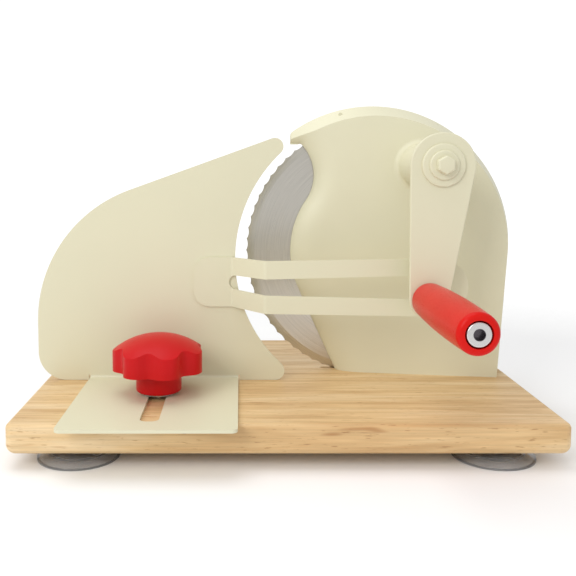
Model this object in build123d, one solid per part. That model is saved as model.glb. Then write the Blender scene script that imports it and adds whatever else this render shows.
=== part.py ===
from build123d import *
import os
from math import acos, atan2, cos, degrees, hypot, inf, pi, radians, sin, sqrt, tan

# Bread slicer with a hand crank, in millimetres.
# +X runs to the right along the front of the board, +Y to the back, +Z up.
# X = 0 is the middle of the board, Z = 0 the surface the cups stand on, and
# Y = 0 the middle between the end of the crank's grip and the back of the board.

os.makedirs("parts", exist_ok=True)

# ---------------------------------------------------------------- driving dimensions
# Board and cups
board_width = 336.0
board_depth = 225.0
board_thick = 19.0
board_corner_round = 5.0
board_top_round = 3.0
board_bottom_round = 6.0
cup_height = 9.0
cup_dia = 51.0
cup_neck_dia = 17.0
cup_inset_side = 39.0           # cup centre from the board's left and right edges
cup_inset_front = 25.5          # cup centre from the board's front and rear edges
cup_screw_dia = 4.0
cup_screw_head_dia = 8.0
cup_screw_head_high = 2.4
cup_screw_bite = 11.0           # how far the screw goes into the board

# Blade and its bearing
blade_dia = 190.0
blade_thick = 1.5
blade_teeth = 70
blade_scallop_deep = 1.1
blade_bevel_wide = 6.0
blade_edge_thick = 0.5
blade_x = 70.9                  # blade axis, right of the board's middle
blade_dip = 5.4                 # how far the blade reaches below the board's top
blade_setback = 130.2           # blade's front face behind the board's front edge
groove_wide = 4.6
groove_end_gap = 7.0            # groove past the blade's chord at each end
groove_under_gap = 2.1          # groove below the blade
axle_dia = 10.0
axle_flange_dia = 15.0
axle_flange_thick = 2.0
axle_press_depth = 5.0          # length of the axle's tail in the housing's boss
bush_wall = 2.0
blade_washer_dia = 20.0
blade_washer_thick = 1.2
blade_screw_dia = 5.0
blade_screw_head_dia = 9.0
blade_screw_head_high = 2.6
blade_screw_bite = 6.0

# Gears
gear_module = 2.0
gear_teeth = 44
pinion_teeth = 26
pressure_angle = 20.0
gear_backlash = 0.35
gear_thick = 4.6
pinion_thick = 3.8
gear_hub_dia = 22.0
gear_screw_ring = 30.0          # pitch circle radius of the screws that hold the blade
gear_screw_count = 3
gear_screw_dia = 4.0
gear_screw_head_dia = 7.4
crank_direction = 64.0          # degrees from +X, blade axis to crank axis

# Crank
shaft_dia = 10.0
shaft_flat = 8.0                # across the two flats that turn the arm
crank_bush_long = 14.0
crank_bush_flange = 1.5
crank_bush_flange_dia = 17.0
boss_dia = 32.0
boss_base_round = 4.0
boss_front_round = 1.5
boss_to_arm = 2.2               # gap between the boss and the back of the arm
arm_setback = 51.0              # arm's front face behind the board's front edge
arm_thick = 3.0
arm_head_r = 21.0
arm_end_r = 12.6
arm_length = 87.6               # crank axis to handle axis
arm_tilt = 5.0                  # degrees the arm leans from straight down, to the left
arm_edge_round = 0.8
washer_large_r = 14.0
washer_small_r = 10.2
washer_step = 1.1
crank_bolt_flats = 9.6
crank_bolt_head_high = 3.6
crank_bolt_dia = 5.0
crank_bolt_bite = 12.0
handle_length = 103.6
handle_end_dia = 23.0
handle_mid_dia = 25.4
handle_front_round = 3.2
handle_rear_round = 2.2
handle_gap = 0.4                # grip to arm, and grip to the screw's head
handle_shank_dia = 8.0
handle_thread_dia = 6.0
handle_recess_dia = 15.0
handle_head_dia = 13.4
handle_head_high = 6.0
handle_socket_flats = 5.6
handle_socket_deep = 3.5
handle_nut_flats = 10.0
handle_nut_high = 4.6

# Housing
housing_wall = 2.5
housing_floor = 3.0
housing_side_overhang = 4.0     # widest point past the board's right edge
shroud_margin = 8.0             # shroud radius past the blade's radius
shroud_rise = 3.7               # shroud centre above the blade axis
face_depth = 14.6               # flat face in front of the rear rim, at the blade axis
face_tilt = 7.9                 # degrees, the right side comes forward
face_inset = 9.0                # sloped rim between the rear outline and the flat face
face_inset_rise = 1.2           # flat face's centre above the shroud's centre
foot_taper = 5.4                # rear outline at the board, in from its widest point
flank_r = 63.5                  # lower flank, about the blade axis
notch_r = 32.0                  # hollow of the flank above it
notch_direction = 144.1         # degrees from +X, blade axis to the hollow's centre
flank_foot_angle = 205.0        # where the flank runs straight down to the board
beak_under = 78.8               # beak's underside above the blade axis
beak_reach = 62.4               # beak's tip left of the blade axis
beak_round = 4.0
roll_wide = 19.0                # width of the convex roll beside the flank's edge
roll_high = 8.6
rim_gap = 0.8                   # blade's front face to the housing's rear rim
cover_thick = 2.0
cover_blade_gap = 2.0           # rear cover's cut-out past the blade's radius
cover_screw_dia = 3.0
cover_screw_head_dia = 5.4
cover_screw_bite = 5.0
post_dia = 7.0                  # screw posts inside the housing
base_screw_dia = 4.0
base_screw_head_dia = 8.0
base_screw_head_high = 2.6
base_screw_sink = 5.0           # counterbore below the head
base_screw_bite = 9.0
base_post_dia = 9.0
base_post_high = 11.0

# Fence and slice guard
fence_thick = 2.0
fence_setback = 95.8            # fence's front face behind the board's front edge
fence_side_overhang = 4.0       # fence past the board's left edge
fence_shoulder_r = 99.4
fence_shoulder_rise = 42.0      # shoulder's centre above the board
fence_slope = 19.8              # degrees, rise of the straight top edge to the right
fence_blade_gap = 8.0           # concave edge to the blade's edge
fence_arc_drop = 2.6            # concave edge's centre below the blade axis
fence_tip_r = 6.0
fence_low_corner_r = 20.0
fence_low_tip_r = 6.5
fence_lift = 0.15               # running gap between fence and board
foot_left = -135.4
foot_width = 105.5
foot_front_overhang = 15.0      # foot past the board's front edge
foot_corner_r = 4.0
bend_r = 1.6                    # inside radius of the fence's bend
relief_wide = 1.2
slot_wide = 11.6
slot_end_r = 4.5
slot_behind_stud = 9.4          # rear end of the slot behind the stud's axis
slot_front_len = 58.2           # front end of the slot in front of the stud's axis
guard_thick = 1.5
guard_mid_rise = 70.8           # middle of the guard above the board
guard_tab_left = -61.5
guard_tab_high = 35.0
guard_tab_corner = 11.5
guard_joggle_start = -34.0
guard_joggle_end = -12.0
guard_joggle_deep = 26.0
guard_bend_r = 3.0
guard_right = 124.4
guard_right_high = 39.3
guard_bar_high = 11.2
guard_slot_left = -36.4
guard_slot_left_high = 10.0

# Clamp knob
knob_x = -82.5
knob_setback = 58.2             # knob's axis behind the board's front edge
knob_lobes = 7
knob_tip_r = 29.7
knob_valley_r = 25.2
knob_lobe_r = 8.5
knob_phase = 31.0               # degrees from +X to one lobe
knob_hub_dia = 30.0
knob_hub_long = 14.8
knob_star_thick = 13.5
knob_star_round = 3.6
knob_dome_high = 9.2
knob_dome_r = 21.0
stud_dia = 8.0
stud_sunk = 9.0                 # stud's upper end inside the knob
stud_engage = 12.0              # stud below the board's top
knob_washer_dia = 22.0
knob_washer_thick = 1.6
insert_dia = 12.0
insert_long = 13.0

# Clearances
run_gap = 0.05                  # radial, shaft in a bearing
seat_gap = 0.05                 # radial, screw or stud in its hole
play = 0.3                      # between faces that pass each other
lay_gap = 0.1                   # between faces that lie on each other and slide

# ---------------------------------------------------------------- derived places
handle_reach = handle_length + handle_gap - arm_setback
front_y = -(board_depth - handle_reach) / 2
rear_y = front_y + board_depth
right_x = board_width / 2
deck_z = cup_height + board_thick

blade_r = blade_dia / 2
blade_z = deck_z + blade_r - blade_dip
blade_front_y = front_y + blade_setback
blade_rear_y = blade_front_y + blade_thick
gear_front_y = blade_front_y - gear_thick
rim_y = blade_front_y - rim_gap

centre_distance = gear_module * (gear_teeth + pinion_teeth) / 2
crank_x = blade_x + centre_distance * cos(radians(crank_direction))
crank_z = blade_z + centre_distance * sin(radians(crank_direction))
arm_front_y = front_y + arm_setback
arm_rear_y = arm_front_y + arm_thick
boss_front_y = arm_rear_y + boss_to_arm
handle_x = crank_x - arm_length * sin(radians(arm_tilt))
handle_z = crank_z - arm_length * cos(radians(arm_tilt))
pinion_rear_y = blade_front_y - rim_gap
pinion_front_y = pinion_rear_y - pinion_thick

shroud_r = blade_r + shroud_margin
shroud_x = right_x + housing_side_overhang - shroud_r
shroud_z = blade_z + shroud_rise

fence_front_y = front_y + fence_setback
fence_rear_y = fence_front_y + fence_thick
guard_front_y = fence_front_y - guard_thick - guard_joggle_deep
guard_z = deck_z + guard_mid_rise
knob_y = front_y + knob_setback
foot_low = deck_z + fence_lift
foot_top = foot_low + fence_thick
washer_low = foot_top + lay_gap
hub_low = washer_low + knob_washer_thick

FRONT = Plane(origin=(0, 0, 0), x_dir=(1, 0, 0), z_dir=(0, -1, 0))   # seen from the front


# ---------------------------------------------------------------- small helpers
def rod(x, z, y_front, y_back, dia):
    """Cylinder along Y between two depths."""
    long = y_back - y_front
    return Pos(x, y_front + long / 2, z) * Rot(90, 0, 0) * Cylinder(dia / 2, long)


def post(x, y, z_low, z_high, dia):
    """Upright cylinder between two heights."""
    return Pos(x, y, (z_low + z_high) / 2) * Cylinder(dia / 2, z_high - z_low)


def block(x_low, x_high, y_low, y_high, z_low, z_high):
    """Box given by its corners."""
    size = (x_high - x_low, y_high - y_low, z_high - z_low)
    middle = ((x_low + x_high) / 2, (y_low + y_high) / 2, (z_low + z_high) / 2)
    return Pos(*middle) * Box(*size)


def slab(face, y_front, y_back):
    """Pull a face drawn on the front plane out between two depths."""
    return Pos(0, y_back, 0) * extrude(face, y_back - y_front)


def on_front(face_xz):
    """Put a face drawn in x and z on the front plane."""
    return FRONT * face_xz


def polar(x, z, r, angle):
    """Point at a radius and an angle in degrees."""
    return (x + r * cos(radians(angle)), z + r * sin(radians(angle)))


def hexagon(flats):
    return RegularPolygon(flats / 2, 6, major_radius=False)


def turned(profile_rz, x, y_start, z):
    """Revolve (radius, depth) points about a Y axis; depth grows to the back."""
    face = make_face(Polyline(*[(r, d) for r, d in profile_rz], close=True))
    solid = revolve(face, Axis.Y)
    return Pos(x, y_start, z) * solid


def edges_at(shape, axis, place, tolerance=0.01):
    """Edges whose middle lies at one place along an axis."""
    return shape.edges().filter_by_position(axis, place - tolerance, place + tolerance)


# ---------------------------------------------------------------- board and cups
cup_sides = (-1, 1)
cup_places = [
    (side * (right_x - cup_inset_side), y)
    for y in (front_y + cup_inset_front, rear_y - cup_inset_front)
    for side in cup_sides
]
base_screw_places = [
    (blade_x - 17.0, rim_y - base_post_dia / 2 - 1.2),
    (blade_x + 34.0, rim_y - base_post_dia / 2 - 3.0),
    (right_x - foot_taper - face_inset - base_post_dia, rim_y - base_post_dia / 2 - 6.0),
]


def base_board():
    """Hardwood board: rounded all round, grooved for the blade, drilled for its screws."""
    board = block(-right_x, right_x, front_y, rear_y, cup_height, deck_z)
    board = fillet(board.edges().filter_by(Axis.Z), board_corner_round)
    board = fillet(board.faces().sort_by(Axis.Z)[-1].edges(), board_top_round)
    board = fillet(board.faces().sort_by(Axis.Z)[0].edges(), board_bottom_round)

    groove_deep = blade_dip + groove_under_gap
    chord = sqrt(blade_r ** 2 - (blade_r - blade_dip) ** 2)
    groove = Pos(blade_x, blade_front_y + blade_thick / 2, deck_z) * SlotOverall(
        2 * (chord + groove_end_gap), groove_wide
    )
    board -= extrude(groove, groove_deep, both=True)

    for x, y in cup_places:
        board -= post(x, y, 0, cup_height + cup_screw_bite + play, cup_screw_dia + 2 * seat_gap)
    sink = cup_height + base_screw_sink
    for x, y in base_screw_places:
        board -= post(x, y, 0, deck_z + 1, base_screw_dia + 2 * seat_gap)
        board -= post(x, y, 0, sink, base_screw_head_dia + 1.0)
    board -= post(knob_x, knob_y, deck_z - insert_long, deck_z + 1, insert_dia)
    return board


def suction_cup(x, y):
    """Clear flared cup with two raised rings, a solid neck and a recess for its screw."""
    rim_r = cup_dia / 2
    neck_r = cup_neck_dia / 2
    recess_r = cup_screw_head_dia / 2 + 0.6
    roof = cup_height / 2 + 0.6
    profile = make_face(
        Polyline(
            (cup_screw_dia / 2 + seat_gap, cup_height),
            (neck_r, cup_height),
            (neck_r, cup_height - 1.6),
            (neck_r + 2.6, cup_height - 2.4),
            (neck_r + 3.4, cup_height - 2.3),
            (neck_r + 4.4, cup_height - 3.3),
            (rim_r - 8.0, cup_height - 4.6),
            (rim_r - 7.2, cup_height - 4.5),
            (rim_r - 6.4, cup_height - 5.3),
            (rim_r - 1.6, 1.9),
            (rim_r, 1.2),
            (rim_r, 0),
            (rim_r - 2.0, 0),
            (rim_r - 8.0, 1.9),
            (recess_r + 2.2, 2.6),
            (recess_r + 0.8, 1.8),
            (recess_r, 1.8),
            (recess_r, roof),
            (cup_screw_dia / 2 + seat_gap, roof),
            close=True,
        )
    )
    return Pos(x, y, 0) * revolve(Plane.XZ * profile, Axis.Z)


def pan_screw(x, y, z_seat, dia, head_dia, head_high, long):
    """Screw pointing up: rounded head under its seat, shank above it."""
    head = post(x, y, z_seat - head_high, z_seat, head_dia)
    head = fillet(head.edges().sort_by(Axis.Z)[0], head_high * 0.4)
    return head + post(x, y, z_seat, z_seat + long, dia)


def cup_screws():
    seat = cup_height / 2 + 0.6
    long = cup_height - seat + cup_screw_bite
    return Compound([
        pan_screw(x, y, seat, cup_screw_dia, cup_screw_head_dia, cup_screw_head_high, long)
        for x, y in cup_places
    ])


def housing_screws():
    """Screws from under the board into the posts of the housing's floor."""
    seat = cup_height + base_screw_sink
    long = deck_z - seat + base_screw_bite
    return Compound([
        pan_screw(x, y, seat, base_screw_dia, base_screw_head_dia, base_screw_head_high, long)
        for x, y in base_screw_places
    ])


# ---------------------------------------------------------------- housing
def shroud_face(r, centre_z, foot_x, base, tip_x, tip_r, left):
    """Outline of the shroud: foot, straight right side, round top, beak tip, open left."""
    reach = hypot(foot_x - shroud_x, base - centre_z)
    turn = degrees(atan2(base - centre_z, foot_x - shroud_x) + acos(r / reach))
    side_top = polar(shroud_x, centre_z, r, turn)
    tip_mid_x = tip_x + tip_r
    tip_mid_z = centre_z + sqrt((r - tip_r) ** 2 - (tip_mid_x - shroud_x) ** 2)
    lean = degrees(atan2(tip_mid_z - centre_z, tip_mid_x - shroud_x))
    tip_top = polar(tip_mid_x, tip_mid_z, tip_r, lean)
    tip_end = (tip_x, tip_mid_z)
    step_z = blade_z + beak_under - 14.0
    return make_face([
        Line((foot_x, base), side_top),
        ThreePointArc(side_top, polar(shroud_x, centre_z, r, (turn + lean) / 2), tip_top),
        ThreePointArc(tip_top, polar(tip_mid_x, tip_mid_z, tip_r, (lean + 180) / 2), tip_end),
        Line(tip_end, (tip_x, step_z)),
        Line((tip_x, step_z), (left, step_z)),
        Line((left, step_z), (left, base)),
        Line((left, base), (foot_x, base)),
    ])


def flank_face(inward, base):
    """Everything right of the S-shaped flank, its edge moved into the metal by one distance."""
    lower_r = flank_r - inward
    hollow_r = notch_r + inward
    hollow_x, hollow_z = polar(blade_x, blade_z, flank_r + notch_r, notch_direction)
    corner_r = 3.0
    corner_z = blade_z + beak_under - corner_r
    corner_x = hollow_x + sqrt((notch_r - corner_r) ** 2 - (corner_z - hollow_z) ** 2)
    corner_turn = degrees(atan2(corner_z - hollow_z, corner_x - hollow_x))

    low = polar(blade_x, blade_z, lower_r, flank_foot_angle)
    drop = (low[1] - base) / -cos(radians(flank_foot_angle))
    foot = (low[0] - sin(radians(flank_foot_angle)) * drop, base)
    mid = polar(blade_x, blade_z, lower_r, notch_direction)
    high = polar(hollow_x, hollow_z, hollow_r, corner_turn)
    under = (corner_x, corner_z + corner_r + inward)
    far_left, far_right, far_top = -right_x, 2 * right_x, blade_z + 2 * blade_r
    middle_low = (flank_foot_angle + notch_direction) / 2
    middle_high = (notch_direction - 180 + corner_turn) / 2
    return make_face([
        Line(foot, low),
        ThreePointArc(low, polar(blade_x, blade_z, lower_r, middle_low), mid),
        ThreePointArc(mid, polar(hollow_x, hollow_z, hollow_r, middle_high), high),
        ThreePointArc(
            high, polar(corner_x, corner_z, corner_r + inward, (corner_turn + 90) / 2), under
        ),
        Line(under, (far_left, under[1])),
        Line((far_left, under[1]), (far_left, far_top)),
        Line((far_left, far_top), (far_right, far_top)),
        Line((far_right, far_top), (far_right, base)),
        Line((far_right, base), foot),
    ])


def behind_face(face_xz, depth):
    """Put a face drawn in x and z on the housing's tilted front, moved straight back."""
    lean = radians(face_tilt)
    plane = Plane(
        origin=(blade_x, rim_y - face_depth + depth, 0),
        x_dir=(cos(lean), -sin(lean), 0),
        z_dir=(-sin(lean), -cos(lean), 0),
    )
    return plane * (Pos(-blade_x, 0, 0) * face_xz)


def housing_form(wall, back, floor):
    """Solid shape of the housing, or of its hollow when wall is more than nothing."""
    r = shroud_r - wall
    foot_x = right_x + housing_side_overhang - foot_taper - wall
    tip_x = blade_x - beak_reach + wall
    tip_r = beak_round
    left = blade_x - flank_r - 12.0
    rear = shroud_face(r, shroud_z, foot_x, floor, tip_x, tip_r, left)
    front = shroud_face(
        r - face_inset, shroud_z + face_inset_rise, foot_x - face_inset, floor,
        tip_x, tip_r, left,
    )
    shell = loft([Pos(0, rim_y, 0) * on_front(rear), behind_face(front, wall)], ruled=True)
    if back > 0:
        shell += slab(on_front(rear), rim_y, rim_y + back)

    low = floor - 1.0
    steps = 6
    rings = []
    for step in range(steps + 1):
        turn = pi / 2 * step / steps
        inward = roll_wide * (1 - cos(pi / 2 - turn)) + wall
        depth = roll_high * (1 - sin(pi / 2 - turn)) + wall
        rings.append(behind_face(flank_face(inward, low), depth))
    roll = loft(rings)
    flank = roll + extrude(rings[-1], 2 * face_depth + 40, dir=(0, 1, 0))
    return shell & flank



def rim_screw_places():
    """Screws of the rear cover, in the crescent between the blade and the outline."""
    ring = blade_r + (shroud_margin + cover_blade_gap) / 2 - 0.4
    low_z = deck_z + housing_floor + 0.3 * post_dia
    corner_x = right_x + housing_side_overhang - foot_taper - housing_wall - 0.4 * post_dia
    upper = [polar(shroud_x, shroud_z, ring, turn) for turn in (62.0, 104.0)]
    return upper + [(corner_x, low_z), (corner_x - 5 * post_dia, low_z)]


def housing():
    """Cast shell: hollow form, crank boss, axle boss inside, screw posts, drilled."""
    floor_z = deck_z + housing_floor
    outer = housing_form(0, 0, deck_z)
    hollow = housing_form(housing_wall, 4, floor_z)
    shell = outer - hollow

    boss = rod(crank_x, crank_z, boss_front_y, rim_y - face_depth, boss_dia)
    shell += boss
    root = [e for e in shell.edges() if is_boss_root(e)]
    shell = fillet(root, boss_base_round)
    mouth = edges_at(shell, Axis.Y, boss_front_y)
    shell = fillet(mouth.sort_by(Edge.length)[-1], boss_front_round)

    inner_boss_end = pinion_front_y - play - crank_bush_flange
    cores = rod(crank_x, crank_z, rim_y - 2 * face_depth, inner_boss_end, boss_dia - 8)
    cores += rod(blade_x, blade_z, rim_y - 2 * face_depth, axle_seat_y(), axle_flange_dia + 4)
    for x, z in rim_screw_places():
        cores += rod(x, z, rim_y - 2 * face_depth - 20, rim_y, post_dia)
    for x, y in base_screw_places:
        cores += post(x, y, deck_z, floor_z + base_post_high, base_post_dia)
    shell += cores & outer

    bush_dia = shaft_dia + 2 * bush_wall
    shell -= rod(crank_x, crank_z, boss_front_y - 1, inner_boss_end + 1, bush_dia)
    shell -= rod(blade_x, blade_z, axle_seat_y() - axle_press_depth, rim_y, axle_dia)
    for x, z in rim_screw_places():
        shell -= rod(x, z, rim_y - cover_screw_bite - play, rim_y + 1, cover_screw_dia)
    for x, y in base_screw_places:
        top = deck_z + base_screw_bite + play
        shell -= post(x, y, deck_z - 1, top, base_screw_dia + 2 * seat_gap)
    return shell


def axle_seat_y():
    """Where the axle's flange sits on the boss inside the housing."""
    return gear_front_y - play - axle_flange_thick


def is_boss_root(edge):
    """The ring where the crank boss meets the tilted face."""
    box = edge.bounding_box()
    round_ok = abs(box.size.X - boss_dia) < 0.5 and abs(box.size.Z - boss_dia) < 0.5
    return round_ok and box.min.Y > boss_front_y + 5 and box.max.Y < rim_y - 2


def crank_bushes():
    """Two flanged bearing bushes, one in each end of the crank boss."""
    dia = shaft_dia + 2 * bush_wall
    bore = shaft_dia + 2 * run_gap
    rear = pinion_front_y - play
    seat = rear - crank_bush_flange
    front_bush = rod(crank_x, crank_z, boss_front_y, boss_front_y + crank_bush_long, dia)
    front_bush += rod(
        crank_x, crank_z, boss_front_y - crank_bush_flange, boss_front_y, crank_bush_flange_dia
    )
    rear_bush = rod(crank_x, crank_z, seat - crank_bush_long, seat, dia)
    rear_bush += rod(crank_x, crank_z, seat, rear, crank_bush_flange_dia)
    hole = rod(crank_x, crank_z, boss_front_y - 10, rear + 10, bore)
    return Compound([front_bush - hole, rear_bush - hole])


def rear_cover():
    """Steel plate behind the housing's rim, flush with the blade and cut out round it."""
    face = on_front(
        shroud_face(
            shroud_r, shroud_z, right_x + housing_side_overhang - foot_taper, deck_z,
            blade_x - beak_reach, beak_round, blade_x - flank_r - 12.0,
        )
    )
    plate = slab(face, rim_y, rim_y + cover_thick)
    plate &= slab(on_front(flank_face(0, deck_z - 1)), rim_y, rim_y + cover_thick)
    plate -= rod(blade_x, blade_z, rim_y - 1, rear_y, blade_dia + 2 * cover_blade_gap)
    for x, z in rim_screw_places():
        plate -= rod(x, z, rim_y - 1, rear_y, cover_screw_dia + 2 * seat_gap)
        plate -= sunk_head(x, z, rim_y + cover_thick, cover_screw_dia, cover_screw_head_dia, seat_gap)
    return plate.solids().sort_by(SortBy.VOLUME)[-1]


def sunk_head(x, z, y_face, dia, head_dia, gap):
    """Cone of a countersunk head, flush with a rear face."""
    deep = (head_dia - dia) / 2
    cone = Cone(head_dia / 2 + gap, dia / 2 + gap, deep)
    return Pos(x, y_face - deep / 2, z) * Rot(90, 0, 0) * cone


def sunk_screws(places, y_face, dia, head_dia, long):
    """Countersunk screws pointing to the front, their heads flush with a rear face."""
    return Compound([
        rod(x, z, y_face - long, y_face - (head_dia - dia) / 2, dia)
        + sunk_head(x, z, y_face, dia, head_dia, 0)
        for x, z in places
    ])


# ---------------------------------------------------------------- blade and its drive
def gear_face(teeth, first_turn):
    """Involute spur gear outline with one tooth centred at first_turn degrees."""
    pitch_r = gear_module * teeth / 2
    base_r = pitch_r * cos(radians(pressure_angle))
    tip_r = pitch_r + gear_module
    root_r = pitch_r - 1.25 * gear_module
    half_pitch = pi / (2 * teeth) - gear_backlash / (4 * pitch_r)
    at_pitch = tan(radians(pressure_angle)) - radians(pressure_angle)
    start_r = max(base_r, root_r)
    flank = []
    for step in range(5):
        r = start_r + (tip_r - start_r) * step / 4
        a = acos(min(1.0, base_r / r))
        flank.append((r, half_pitch + at_pitch - (tan(a) - a)))
    points = []
    for tooth in range(teeth):
        middle = radians(first_turn) + 2 * pi * tooth / teeth
        side = [(root_r, flank[0][1])] + flank if root_r < start_r else flank
        for r, half in side:
            points.append((r * cos(middle - half), r * sin(middle - half)))
        for r, half in reversed(side):
            points.append((r * cos(middle + half), r * sin(middle + half)))
    return make_face(Polyline(*points, close=True))


def gear_screw_places():
    return [
        polar(blade_x, blade_z, gear_screw_ring, 90 + 360 * k / gear_screw_count)
        for k in range(gear_screw_count)
    ]


def blade():
    """Round steel blade: scalloped rim, bevelled towards the slice."""
    step = 360 / blade_teeth
    arcs = []
    for k in range(blade_teeth):
        tip = polar(0, 0, blade_r, k * step)
        hollow = polar(0, 0, blade_r - blade_scallop_deep, (k + 0.5) * step)
        next_tip = polar(0, 0, blade_r, (k + 1) * step)
        arcs.append(ThreePointArc(tip, hollow, next_tip))
    outline = Pos(blade_x, blade_z, 0) * make_face(arcs)
    disc = slab(on_front(outline), blade_front_y, blade_rear_y)
    bevel = turned(
        [
            (0, 0),
            (blade_r - blade_bevel_wide, 0),
            (blade_r + 1, blade_thick - blade_edge_thick),
            (blade_r + 1, blade_thick),
            (0, blade_thick),
        ],
        blade_x, blade_front_y, blade_z,
    )
    disc &= bevel
    disc -= rod(blade_x, blade_z, blade_front_y - 1, blade_rear_y + 1, axle_dia + 2 * bush_wall)
    for x, z in gear_screw_places():
        disc -= rod(x, z, blade_front_y - 1, blade_rear_y + 1, gear_screw_dia + 2 * seat_gap)
        disc -= sunk_head(x, z, blade_rear_y, gear_screw_dia, gear_screw_head_dia, seat_gap)
    return disc


def blade_gear():
    """Large gear on the blade's front face."""
    outline = Pos(blade_x, blade_z, 0) * gear_face(gear_teeth, crank_direction)
    gear = slab(on_front(outline), gear_front_y, blade_front_y)
    gear -= rod(blade_x, blade_z, gear_front_y - 1, blade_front_y + 1, axle_dia + 2 * bush_wall)
    for x, z in gear_screw_places():
        gear -= rod(x, z, gear_front_y - 1, blade_front_y + 1, gear_screw_dia)
        gear -= sunk_head(x, z, blade_rear_y, gear_screw_dia, gear_screw_head_dia, seat_gap)
    return gear


def gear_screws():
    long = blade_thick + gear_thick - play
    return sunk_screws(gear_screw_places(), blade_rear_y, gear_screw_dia, gear_screw_head_dia, long)


def blade_bush():
    """Bearing bush pressed through gear and blade."""
    bush = rod(blade_x, blade_z, gear_front_y, blade_rear_y, axle_dia + 2 * bush_wall)
    return bush - rod(blade_x, blade_z, gear_front_y - 1, blade_rear_y + 1, axle_dia + 2 * run_gap)


def blade_axle():
    """Fixed pin: tail in the housing's boss, flange on it, journal through the blade."""
    seat = axle_seat_y()
    end = blade_rear_y + play
    axle = rod(blade_x, blade_z, seat - axle_press_depth, end, axle_dia)
    axle += rod(blade_x, blade_z, seat, seat + axle_flange_thick, axle_flange_dia)
    return axle - rod(blade_x, blade_z, end - blade_screw_bite - play, end + 1, blade_screw_dia)


def blade_washer():
    start = blade_rear_y + play
    washer = rod(blade_x, blade_z, start, start + blade_washer_thick, blade_washer_dia)
    return washer - rod(blade_x, blade_z, start - 1, start + 9, blade_screw_dia + 2 * seat_gap)


def blade_screw():
    seat = blade_rear_y + play + blade_washer_thick
    head = rod(blade_x, blade_z, seat, seat + blade_screw_head_high, blade_screw_head_dia)
    head = fillet(edges_at(head, Axis.Y, seat + blade_screw_head_high), 1.0)
    low = blade_rear_y + play - blade_screw_bite
    return head + rod(blade_x, blade_z, low, seat, blade_screw_dia)


# ---------------------------------------------------------------- crank
def crank_shaft():
    """Steel shaft: collar and journal, two flats at the front, drilled for the bolt."""
    journal_front = arm_rear_y
    rear = pinion_rear_y
    shaft = rod(crank_x, crank_z, journal_front, rear, shaft_dia)
    collar_rear = boss_front_y - crank_bush_flange - lay_gap
    shaft += rod(crank_x, crank_z, journal_front, collar_rear, shaft_dia + 4)
    spigot = rod(crank_x, crank_z, arm_front_y + play, journal_front, shaft_dia)
    spigot &= leaning_box(shaft_flat, 3 * shaft_dia, arm_front_y - 1, journal_front + 1)
    shaft += spigot
    hole_end = arm_front_y + crank_bolt_bite
    return shaft - rod(crank_x, crank_z, arm_front_y - 1, hole_end, crank_bolt_dia)


def leaning_box(wide, high, y_low, y_high):
    """Box about the crank axis, leaning with the arm."""
    box = Box(wide, y_high - y_low, high)
    return Pos(crank_x, (y_low + y_high) / 2, crank_z) * Rot(0, arm_tilt, 0) * box


def crank_pinion():
    """Small gear on the shaft's rear end, a gap facing the large gear."""
    half_tooth = 180 / pinion_teeth
    outline = gear_face(pinion_teeth, crank_direction + 180 + half_tooth)
    gear = slab(
        on_front(Pos(crank_x, crank_z, 0) * outline), pinion_front_y, pinion_rear_y
    )
    return gear - rod(crank_x, crank_z, pinion_front_y - 1, pinion_rear_y + 1, shaft_dia)


def crank_arm():
    """Flat arm: round head and end joined by straight sides, edges rounded."""
    lean = -90 - arm_tilt
    spread = degrees(acos((arm_head_r - arm_end_r) / arm_length))
    head_left = polar(crank_x, crank_z, arm_head_r, lean - spread)
    head_right = polar(crank_x, crank_z, arm_head_r, lean + spread)
    end_left = polar(handle_x, handle_z, arm_end_r, lean - spread)
    end_right = polar(handle_x, handle_z, arm_end_r, lean + spread)
    outline = make_face([
        ThreePointArc(head_left, polar(crank_x, crank_z, arm_head_r, lean + 180), head_right),
        Line(head_right, end_right),
        ThreePointArc(end_right, polar(handle_x, handle_z, arm_end_r, lean), end_left),
        Line(end_left, head_left),
    ])
    arm = slab(on_front(outline), arm_front_y, arm_rear_y)
    arm = fillet(edges_at(arm, Axis.Y, arm_front_y), arm_edge_round)
    arm = fillet(edges_at(arm, Axis.Y, arm_rear_y), arm_edge_round)
    seat = rod(crank_x, crank_z, arm_front_y - 1, arm_rear_y + 1, shaft_dia + 2 * seat_gap)
    flat = shaft_flat + 2 * seat_gap
    arm -= seat & leaning_box(flat, 3 * shaft_dia, arm_front_y - 1, arm_rear_y + 1)
    thread = handle_thread_dia + 2 * seat_gap
    return arm - rod(handle_x, handle_z, arm_front_y - 1, arm_rear_y + 1, thread)


def arm_washer(r, y_rear):
    """Turned washer with a rounded front edge."""
    front = y_rear - washer_step
    washer = rod(crank_x, crank_z, front, y_rear, 2 * r)
    washer = fillet(edges_at(washer, Axis.Y, front), washer_step * 0.6)
    return washer - rod(crank_x, crank_z, front - 1, y_rear + 1, crank_bolt_dia + 2 * seat_gap)


def crank_bolt():
    """Hexagon bolt with a softly rounded head, screwed into the shaft."""
    seat = arm_front_y - 2 * washer_step
    front = seat - crank_bolt_head_high
    head = slab(on_front(Pos(crank_x, crank_z, 0) * hexagon(crank_bolt_flats)), front, seat)
    head = fillet(edges_at(head, Axis.Y, front), 0.9)
    tail = arm_front_y + crank_bolt_bite - play
    return head + rod(crank_x, crank_z, seat, tail, crank_bolt_dia)


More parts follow.
